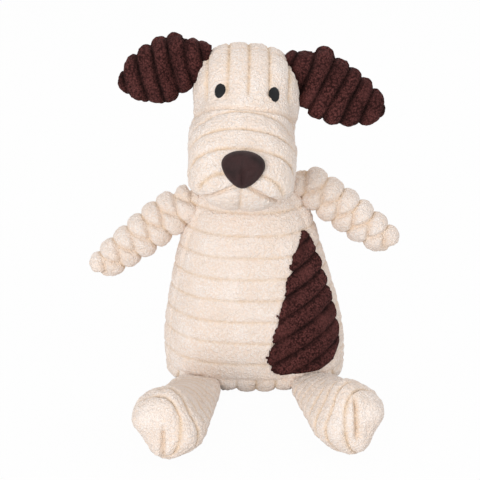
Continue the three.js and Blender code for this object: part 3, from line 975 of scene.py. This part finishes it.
class PLUSH_OT_ears(bpy.types.Operator):
    """Sews each ear's front and back panel"""

    bl_idname = "plush.ears"
    bl_label = "Ears"

    def execute(self, context):
        for side, sign in SIDES.items():
            self.ear(side, sign)
        return {"FINISHED"}

    def ear(self, side, sign):
        size = sizes()
        body = side + "_ear"
        nodes = [body + "_front_panel", body + "_back_panel"]
        hinge, along, _, upward = along_limb(body, *nodes)
        cloud = rooted(node_points(*nodes), hinge, along, Vector((-sign * EAR_ROOT, 0, 0)))
        skin = stuffed(body + "_skin", cloud, eased=3, draw_in=EAR_DRAW_IN)
        self.gather(skin, side, hinge, along, upward)
        points = points_of(skin.data)
        far = apart(points, hinge, along)
        out = far + sway(points, wave=16 * MM, reach=2.6 * MM)
        rise, groove = wales(out, size.ear_pitch, start=2 * MM, flatness=2, width=1.7 * MM)
        crumple = lumps(points, EAR_LUMP) * EAR_CRUMPLE * np.clip(1.2 - far / (45 * MM), 0.25, 1)
        edge = seam(apart(points, hinge, AHEAD), EAR_STITCH)
        height = rise * size.brown_wale * 1.3 * (1 - 0.5 * edge) + crumple + pile(points, size.pile)
        dress(skin, height - 0.5 * MM * edge, groove)
        for node, way in zip(nodes, (1, -1)):
            made = panel(node + "_cover", skin, [(hinge, -AHEAD * way)], shell=False)
            brown_cloth(made, node)
            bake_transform(made)
        drop(skin)

    def gather(self, skin, side, hinge, along, upward):
        """Draws the ear's top corner down to where it is sewn on, lets its broad near part stand up and
        its narrow tip hang."""
        points = points_of(skin.data)
        upright = upward if upward.z > 0 else -upward
        lift, far = apart(points, hinge, upright), apart(points, hinge, along)
        near = (1 - ramp(far, start=0, reach=EAR_GATHER)) ** 2
        raised = (EAR_RAISE[side] + EAR_BROAD[side] * lift) * seam(far - EAR_BROAD_AT, 18 * MM)
        raised -= EAR_DRAWN * np.maximum(lift, 0) * near
        raised -= (EAR_HANG[side] + EAR_TAPER * lift) * ramp(far, start=35 * MM, reach=20 * MM)
        move_points(skin.data, points + raised[:, None] * np.array(upright))


class PLUSH_OT_arms(bpy.types.Operator):
    """Sews each arm's upper and lower panel"""

    bl_idname = "plush.arms"
    bl_label = "Arms"

    def execute(self, context):
        for side, sign in SIDES.items():
            self.arm(side, sign)
        return {"FINISHED"}

    def arm(self, side, sign):
        size = sizes()
        body = side + "_arm"
        nodes = [body + "_upper_panel", body + "_lower_panel"]
        hinge, along, _, upward = along_limb(body, *nodes)
        inward = Vector((-sign * ARM_ROOT, 0, ARM_ROOT_LIFT[side]))
        cloud = rooted(node_points(*nodes), hinge, along, inward)
        skin = stuffed(body + "_skin", cloud, eased=4, draw_in=ARM_DRAW_IN)
        points = points_of(skin.data)
        points[:, 2] -= ARM_SAG[side] * np.clip(2 - apart(points, hinge, along) / (34 * MM), 0, 1)
        move_points(skin.data, points)
        out = apart(points, hinge, along) + sway(points, wave=20 * MM, reach=1.2 * MM)
        last_groove = out.max() - HAND_LENGTH
        winding = ARM_WINDING * np.cos(math.tau * (out - last_groove) / size.limb_pitch + math.pi)
        lift = apart(points, hinge, upward) + winding
        rows = out + np.where(lift > 0, 0, size.limb_pitch / 2)
        rise, groove = wales(rows, size.limb_pitch, start=last_groove, flatness=2)
        hand = ramp(out, start=last_groove + 3 * MM, reach=3 * MM)
        rise, groove = np.maximum(rise, 0.75 * hand), groove * (1 - hand)
        stitched = seam(lift, ARM_STITCH)
        height = rise * size.limb_wale * (1 - 0.7 * stitched) - 0.6 * MM * stitched
        height += pile(points, size.pile)
        # The seam furrow takes painted shade along with the grooves.
        dress(skin, height, np.maximum(groove, 0.5 * stitched), shift=winding[:, None] * np.array(upward))
        for node, way in zip(nodes, (1, -1)):
            made = panel(node + "_cover", skin, [], [(hinge, -upward * way)])
            cream_cloth(made, node)
            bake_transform(made)
        drop(skin)


class PLUSH_OT_legs(bpy.types.Operator):
    """Sews each leg's outer and inner panel"""

    bl_idname = "plush.legs"
    bl_label = "Legs"

    def execute(self, context):
        for side, sign in SIDES.items():
            self.leg(side, sign)
        return {"FINISHED"}

    def leg(self, side, sign):
        size = sizes()
        body = side + "_leg"
        nodes = [body + "_outer_panel", body + "_inner_panel"]
        hinge, along, across, upward = along_limb(body, *nodes)
        outward = across if across.x * sign > 0 else -across
        cloud = rooted(node_points(*nodes), hinge, along, Vector((0, LEG_ROOT, 0)))
        skin = stuffed(body + "_skin", cloud, eased=4)
        points = points_of(skin.data)
        ball = hinge + along * (apart(points, hinge, along).max() - FOOT_RADIUS)
        toward = (along + outward * FOOT_TURN[side]).normalized()
        ahead = apart(points, ball, toward) + sway(points, wave=26 * MM, reach=0.8 * MM)
        around_end = FOOT_RADIUS * np.arcsin(np.clip(ahead / FOOT_RADIUS, 0, 1))
        rings = np.where(ahead > 0, around_end, ahead)
        rise, groove = wales(rings, size.leg_pitch, start=TOE_RING, flatness=2.6, width=1.2 * MM)
        toes = ramp(rings, start=TOE_RING, reach=3 * MM)
        rise, groove = np.maximum(rise, toes), groove * (1 - toes)
        aside, lift = apart(points, ball, outward), apart(points, ball, upward)
        on_toe = np.clip(TOE_REACH - np.abs(lift - TOE_MIDDLE[side]) / (5 * MM), 0, 1)
        stitched = seam(aside, TOE_STITCH) * toes * on_toe
        height = rise * size.limb_wale * 0.6 * (1 - stitched) - 1.2 * MM * stitched
        turn = np.arctan2(lift, aside)
        boxy = np.cos(4 * (turn - BOOT_TURN)) - np.maximum(0, np.sin(turn))
        off_end = ramp(np.hypot(aside, lift), start=0, reach=0.6 * FOOT_RADIUS) ** 2
        height += BOOT_RELIEF * boxy * off_end * ramp(ahead, start=-20 * MM, reach=20 * MM)
        stretched = np.cos(2 * (turn - FOOT_SKEW[side])) * off_end
        height += FOOT_STRETCH * stretched * ramp(ahead, start=-14 * MM, reach=14 * MM)
        shin = ramp(-ahead, start=-2 * MM, reach=16 * MM) * ramp(lift, start=0, reach=10 * MM)
        height -= SHIN_HOLLOW[side] * shin
        # The toe stitch furrow takes painted shade along with the grooves.
        dress(skin, height + pile(points, size.pile), np.maximum(groove, 0.8 * stitched))
        for node, way in zip(nodes, (1, -1)):
            made = panel(node + "_cover", skin, [(hinge, -outward * way)])
            cream_cloth(made, node)
            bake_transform(made)
        drop(skin)


# Inside the covers

class PLUSH_OT_filling(bpy.types.Operator):
    """Makes the wads of fibre fill and the squeaker"""

    bl_idname = "plush.filling"
    bl_label = "Fill and squeaker"

    def execute(self, context):
        material = fibre()
        wads = [("torso_front_fill", "torso"), ("torso_back_fill", "torso"), ("head_fill", "head")]
        limbs = [f"{side}_{limb}" for side in SIDES for limb in ("arm", "leg")]
        wads += [(limb + "_fill", limb) for limb in limbs]
        for node, body in wads:
            self.wad(node, body, material)
        self.squeaker()
        return {"FINISHED"}

    def wad(self, node, body, material):
        points = node_points(node)
        parts = [points]
        if node == "head_fill":
            snout = apart(in_head(points), BROW_SEAM, BROW_AIM) < -4 * MM
            parts = [points[~snout], points[snout]]
        skin = stuffed(node + "_skin", *parts, draw_in=WAD_DRAW_IN, eased=4, rounds=1, swollen=False)
        points = points_of(skin.data)
        clumps = np.array([noise.fractal(Vector(p) / (9 * MM), 1, 2, 4) for p in points])
        rise = clumps * WAD_CLUMP - WAD_SLACK
        move_points(skin.data, points + normals_of(skin.data) * rise[:, None])
        if node.startswith("torso"):
            self.pocket(skin)
        skin.name = node + "_wad"
        skin.data.shade_smooth()
        skin.data.materials.append(material)
        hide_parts(node)
        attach(skin, body)
        if node == "torso_front_fill":
            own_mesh(skin)

    def pocket(self, skin):
        """Leaves room for the squeaker in a wad."""
        points = node_points("squeaker_bulb", "squeaker_plug", "squeaker_reed")
        middle = points.mean(axis=0)
        bm = bmesh.new()
        add_hull(bm, middle + (points - middle) * 1.1)
        room = put("squeaker_room", bm)
        cut = skin.modifiers.new("pocket", "BOOLEAN")
        cut.operation = "DIFFERENCE"
        cut.solver = "FAST"
        cut.object = room
        bake(skin)
        drop(room)
        bm = bmesh.new()
        bm.from_mesh(skin.data)
        bmesh.ops.remove_doubles(bm, verts=bm.verts[:], dist=1e-6)
        bm.to_mesh(skin.data)
        bm.free()

    def squeaker(self):
        plastic = moulded("blown_plastic", colours().plastic)
        for node in ("squeaker_plug", "squeaker_reed"):
            frame["nodes"][node].data.materials.clear()
            frame["nodes"][node].data.materials.append(plastic)
        bm = bmesh.new()
        bm.from_mesh(frame["nodes"]["squeaker_bulb"].data)
        bmesh.ops.remove_doubles(bm, verts=bm.verts[:], dist=1e-5)
        bmesh.ops.smooth_vert(
            bm, verts=bm.verts[:], factor=0.1, use_axis_x=True, use_axis_y=True, use_axis_z=True)
        made = put("squeaker_bulb_blown", bm)
        finer = made.modifiers.new("rounded", "SUBSURF")
        finer.levels = finer.render_levels = 1
        bake(made)
        made.data.shade_smooth()
        made.data.materials.clear()
        made.data.materials.append(plastic)
        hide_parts("squeaker_bulb")
        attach(made, "torso")
        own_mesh(made)


class PLUSH_OT_stage(bpy.types.Operator):
    """Lays the pale floor, lights it softly and sets the camera"""

    bl_idname = "plush.stage"
    bl_label = "Stage"

    def execute(self, context):
        scene = context.scene
        scene.view_settings.view_transform = "Standard"
        self.floor()
        self.world(scene)
        for name, place, width, power in LAMPS:
            self.lamp(scene, name, place, width, power)
        camera = bpy.data.objects.new("camera", bpy.data.cameras.new("camera"))
        camera.data.lens = CAMERA_LENS
        camera.data.sensor_width = CAMERA_SENSOR
        camera.location = CAMERA_PLACE
        camera.rotation_euler = (CAMERA_PITCH, 0, 0)
        scene.collection.objects.link(camera)
        scene.camera = camera
        return {"FINISHED"}

    def floor(self):
        bm = bmesh.new()
        bmesh.ops.create_circle(bm, cap_ends=True, segments=64, radius=FLOOR_RADIUS)
        floor = put("floor", bm)
        material, tree, shader = new_material("studio_floor")
        shader.inputs["Base Color"].default_value = (*colours().floor, 1)
        shader.inputs["Roughness"].default_value = 0.9
        shader.inputs["Specular IOR Level"].default_value = 0
        glow = add_node(tree, "ShaderNodeEmission")
        glow.inputs["Strength"].default_value = 1
        path = add_node(tree, "ShaderNodeLightPath")
        share = scaled(tree, path.outputs["Is Camera Ray"], FLOOR_WHITE)
        mix = add_node(tree, "ShaderNodeMixShader")
        tree.links.new(share, mix.inputs[0])
        tree.links.new(shader.outputs[0], mix.inputs[1])
        tree.links.new(glow.outputs[0], mix.inputs[2])
        tree.links.new(mix.outputs[0], tree.nodes["Material Output"].inputs[0])
        floor.data.materials.append(material)

    def world(self, scene):
        world = bpy.data.worlds.new("studio")
        world.use_nodes = True
        tree = world.node_tree
        back = tree.nodes["Background"]
        back.inputs["Color"].default_value = (1, 1, 1, 1)
        path = add_node(tree, "ShaderNodeLightPath")
        seen = add_node(tree, "ShaderNodeMath", operation="MAXIMUM")
        tree.links.new(path.outputs["Is Camera Ray"], seen.inputs[0])
        tree.links.new(path.outputs["Is Glossy Ray"], seen.inputs[1])
        level = add_node(tree, "ShaderNodeMapRange")
        level.inputs["To Min"].default_value = WORLD_LIGHT
        level.inputs["To Max"].default_value = 1
        tree.links.new(seen.outputs[0], level.inputs["Value"])
        tree.links.new(level.outputs["Result"], back.inputs["Strength"])
        scene.world = world

    def lamp(self, scene, name, place, width, power):
        light = bpy.data.lights.new(name, "AREA")
        light.shape = "DISK"
        light.size = width
        light.energy = power
        lamp = bpy.data.objects.new(name, light)
        lamp.location = place
        lamp.rotation_euler = (LIT_PLACE - Vector(place)).to_track_quat("-Z", "Y").to_euler()
        scene.collection.objects.link(lamp)


class PLUSH_PT_panel(bpy.types.Panel):
    """Lists the steps that make the dog"""

    bl_idname = "PLUSH_PT_panel"
    bl_label = "Plush dog"
    bl_space_type = "VIEW_3D"
    bl_region_type = "UI"
    bl_category = "Plush dog"

    def draw(self, context):
        for step in STEPS:
            self.layout.operator(step.bl_idname)
        for settings in (context.scene.plush_sizes, context.scene.plush_colours):
            for name in settings.__annotations__:
                self.layout.prop(settings, name)


STEPS = (
    PLUSH_OT_torso, PLUSH_OT_head, PLUSH_OT_face, PLUSH_OT_ears, PLUSH_OT_arms, PLUSH_OT_legs,
    PLUSH_OT_filling, PLUSH_OT_stage,
)
CLASSES = (PlushSizes, PlushColours, *STEPS, PLUSH_PT_panel)


def register():
    for item in CLASSES:
        bpy.utils.register_class(item)
    bpy.types.Scene.plush_sizes = PointerProperty(type=PlushSizes)
    bpy.types.Scene.plush_colours = PointerProperty(type=PlushColours)


def unregister():
    del bpy.types.Scene.plush_colours
    del bpy.types.Scene.plush_sizes
    for item in reversed(CLASSES):
        bpy.utils.unregister_class(item)


def main():
    register()
    bpy.ops.plush.torso()
    bpy.ops.plush.head()
    bpy.ops.plush.face()
    bpy.ops.plush.ears()
    bpy.ops.plush.arms()
    bpy.ops.plush.legs()
    bpy.ops.plush.filling()
    bpy.ops.plush.stage()


if __name__ == "__main__":
    main()
